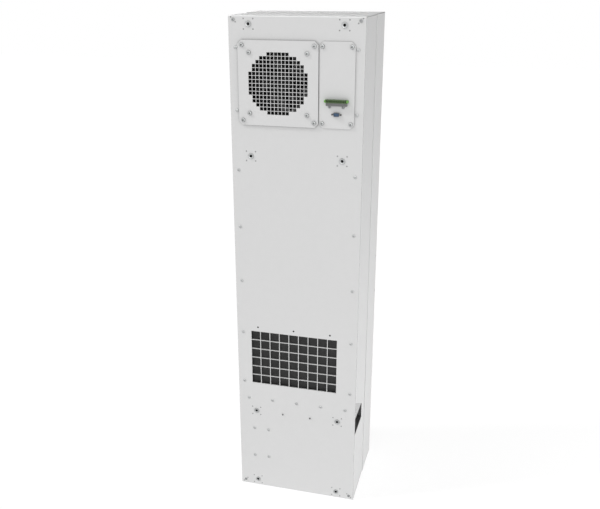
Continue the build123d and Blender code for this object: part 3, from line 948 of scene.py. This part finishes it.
def fan_blade(bm, place, turn, size):
    """A cambered, twisted blade with a rounded section; size is its root, tip and depth."""
    upper, lower = (blade_side(bm, place, turn, size, side) for side in (1, -1))
    skin(bm, upper, closed=False)
    skin(bm, lower[::-1], closed=False)
    for end in (0, -1):
        skin(bm, (upper[end], lower[end]), closed=False)
        edges = [[line[end] for line in rows] for rows in (upper, lower)]
        skin(bm, edges, closed=False)


def fan_wheel(name, node, facing, hub_radius, materials):
    """Moulded rotor with a domed hub, in the place of the plain CAD rotor."""
    low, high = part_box(node)
    centre = (low + high) / 2 / MM
    depth = (high.y - low.y) / MM
    tip = min(high.x - low.x, high.z - low.z) / 2 / MM
    place = facing(centre.x, centre.z, (low.y + high.y) / 2)
    bm = bmesh.new()
    hub = (
        (hub_radius * 0.96, -depth / 2),
        (hub_radius, -depth / 2 + 1.5),
        (hub_radius, depth / 2 - 5.0),
        (hub_radius * 0.95, depth / 2 - 2.0),
        (hub_radius * 0.82, depth / 2 - 0.4),
        (hub_radius * 0.6, depth / 2),
        (hub_radius * 0.3, depth / 2),
    )
    turned(bm, hub, place, 48)
    size = hub_radius * BLADE_ROOT, tip, depth * BLADE_DEPTH
    for index in range(BLADES):
        fan_blade(bm, place, math.tau * index / BLADES, size)
    made = piece(name, bm, materials["fan_black"], 50.0)
    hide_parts(node)


def add_tray_screws(materials):
    """Flush screws near the corners of the three outer trays."""
    bm = bmesh.new()
    rings = ((4.4, -0.4), (4.3, 0.0), (hexagon(1.9), 0.0), (hexagon(1.8), -0.3))
    for node in TRAYS:
        low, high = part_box(node)
        for x in (low.x / MM + TRAY_SCREW_INSET, high.x / MM - TRAY_SCREW_INSET):
            for z in (low.z / MM + TRAY_SCREW_INSET, high.z / MM - TRAY_SCREW_INSET):
                turned(bm, rings, on_back(x, z, high.y), 36)
    piece("tray_screws", bm, materials["zinc"])


def seal_outline(y0, y1, z0, z1):
    """Y and Z of the corners round a strip that ends in a round nose."""
    nose, centre = (z1 - z0) / 2, (z0 + z1) / 2
    outline = [(y0, z0)]
    for index in range(SEAL_NOSE_STEPS + 1):
        angle = math.pi * (index / SEAL_NOSE_STEPS - 0.5)
        outline.append((y1 - nose + nose * math.cos(angle), centre + nose * math.sin(angle)))
    return outline + [(y0, z1)]


def add_joint_seals(materials):
    """Round-nosed black strips in the two joints between the outer trays."""
    bm = bmesh.new()
    slack, inset = SEAL_SLACK * MM, SEAL_INSET * MM
    for lower, upper in zip(TRAYS, TRAYS[1:]):
        low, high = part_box(lower)
        depths = low.y + slack, high.y - SEAL_SET_BACK * MM
        outline = seal_outline(*depths, high.z + slack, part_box(upper)[0].z - slack)
        ends = [
            [bm.verts.new((x, y, z)) for y, z in outline] for x in (low.x + inset, high.x - inset)
        ]
        for end in ends:
            bm.faces.new(end)
        skin(bm, ends)
    piece("joint_seals", bm, materials["fan_black"])


# Stage, lights and camera


def white_for_camera(nodes, links):
    """Factor that is 1 for camera, glossy and transmission rays."""
    path = nodes.new("ShaderNodeLightPath")
    factor = path.outputs["Is Camera Ray"]
    for kind in ("Is Glossy Ray", "Is Transmission Ray"):
        either = nodes.new("ShaderNodeMath")
        either.operation = "MAXIMUM"
        links.new(factor, either.inputs[0])
        links.new(path.outputs[kind], either.inputs[1])
        factor = either.outputs[0]
    return factor


def make_world(ambient):
    """White behind the object, and an even plain light on it."""
    world = bpy.data.worlds.new("studio")
    bpy.context.scene.world = world
    world.use_nodes = True
    nodes, links = world.node_tree.nodes, world.node_tree.links
    seen = nodes["Background"]
    seen.inputs["Color"].default_value = (1, 1, 1, 1)
    seen.inputs["Strength"].default_value = 1.0
    lit = nodes.new("ShaderNodeBackground")
    lit.inputs["Color"].default_value = (1, 1, 1, 1)
    lit.inputs["Strength"].default_value = ambient
    mix = nodes.new("ShaderNodeMixShader")
    links.new(white_for_camera(nodes, links), mix.inputs["Fac"])
    links.new(lit.outputs[0], mix.inputs[1])
    links.new(seen.outputs[0], mix.inputs[2])
    links.new(mix.outputs[0], nodes["World Output"].inputs["Surface"])


def glowing(nodes, links, grey, strength):
    """A matt grey with a white glow added to it."""
    matt = nodes.new("ShaderNodeBsdfDiffuse")
    matt.inputs["Color"].default_value = (grey, grey, grey, 1)
    glow = nodes.new("ShaderNodeEmission")
    glow.inputs["Strength"].default_value = strength
    both = nodes.new("ShaderNodeAddShader")
    links.new(matt.outputs[0], both.inputs[0])
    links.new(glow.outputs[0], both.inputs[1])
    return both.outputs[0]


def make_floor():
    """Pale floor that keeps a faint shadow of the object."""
    material = bpy.data.materials.new("floor")
    material.use_nodes = True
    nodes, links = material.node_tree.nodes, material.node_tree.links
    nodes.remove(nodes["Principled BSDF"])
    mix = nodes.new("ShaderNodeMixShader")
    links.new(white_for_camera(nodes, links), mix.inputs["Fac"])
    links.new(glowing(nodes, links, *FLOOR_FOR_LIGHT), mix.inputs[1])
    links.new(glowing(nodes, links, *FLOOR_FOR_CAMERA), mix.inputs[2])
    links.new(mix.outputs[0], nodes["Material Output"].inputs["Surface"])
    bm = bmesh.new()
    bmesh.ops.create_grid(bm, x_segments=1, y_segments=1, size=FLOOR_HALF)
    mesh = bpy.data.meshes.new("floor")
    bm.to_mesh(mesh)
    bm.free()
    mesh.materials.append(material)
    floor = bpy.data.objects.new("floor", mesh)
    floor.location.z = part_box("mounting_panel")[0].z
    bpy.context.scene.collection.objects.link(floor)


def soft_light(name, place, target, size, power):
    """A square lamp that faces a point."""
    data = bpy.data.lights.new(name, "AREA")
    data.shape = "SQUARE"
    data.size = size
    data.energy = power
    lamp = bpy.data.objects.new(name, data)
    lamp.location = place
    direction = Vector(target) - Vector(place)
    lamp.rotation_mode = "QUATERNION"
    lamp.rotation_quaternion = direction.to_track_quat("-Z", "Y")
    bpy.context.scene.collection.objects.link(lamp)


def far_light(name, direction, spread, strength):
    """A distant soft lamp that shines along a direction."""
    data = bpy.data.lights.new(name, "SUN")
    data.angle = math.radians(spread)
    data.energy = strength
    lamp = bpy.data.objects.new(name, data)
    lamp.rotation_mode = "QUATERNION"
    lamp.rotation_quaternion = Vector(direction).to_track_quat("-Z", "Y")
    bpy.context.scene.collection.objects.link(lamp)


def make_lights():
    """Even dome, a raking lamp from the upper left, fills and a low lamp on the right."""
    make_world(DOME)
    far_light("raking", (0.65, 0.25, -0.72), spread=8.0, strength=1.05)
    far_light("front_fill", (0.0, 1.0, -0.2), spread=20.0, strength=0.98)
    far_light("back_fill", (0.35, -0.9, 0.05), spread=30.0, strength=0.9)
    soft_light("low_right", (1.9, -0.1, 0.0), (0.2, 0.0, 0.0), size=0.6, power=23.5)


def make_camera():
    """Camera at the place and angle of the picture."""
    yaw, pitch = math.radians(CAMERA_YAW), math.radians(CAMERA_PITCH)
    data = bpy.data.cameras.new("camera")
    data.sensor_width = CAMERA_SENSOR
    data.lens = CAMERA_LENS
    data.clip_start, data.clip_end = CAMERA_CLIP
    camera = bpy.data.objects.new("camera", data)
    camera.location = CAMERA_PLACE
    camera.rotation_euler = (math.pi / 2 - pitch, 0.0, -yaw)
    bpy.context.scene.collection.objects.link(camera)
    bpy.context.scene.camera = camera


def add_pieces(materials):
    """The pieces that the solids lack, and the fan wheels that stand for plain ones."""
    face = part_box("mounting_panel")[0].y
    add_rivets(materials, face)
    add_corner_fasteners(materials, face)
    add_weld_marks(materials, face)
    add_bush_collars(materials)
    add_bush_threads(materials)
    add_plate_screws(materials)
    add_seat_inserts(materials, face)
    add_locating_pins(materials, face)
    add_terminal_details(materials)
    add_carrier_screws(materials)
    add_socket_details(materials)
    add_fins("evaporator_fins", "evaporator_core", True, materials)
    add_fins("condenser_fins", "condenser_core", False, materials)
    fan_wheel("supply_fan_wheel", "fan_rotor", on_front, SUPPLY_HUB_RADIUS, materials)
    fan_wheel("outer_fan_wheel", "outer_fan_rotor", on_back, OUTER_HUB_RADIUS, materials)
    add_tray_screws(materials)
    add_joint_seals(materials)


def main():
    """Load the frame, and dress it."""
    start_clean()
    bpy.context.scene.view_settings.view_transform = "Standard"
    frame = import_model()
    make_camera()
    make_lights()
    make_floor()
    materials = make_materials()
    dress_nodes(frame, materials)
    add_pieces(materials)


main()
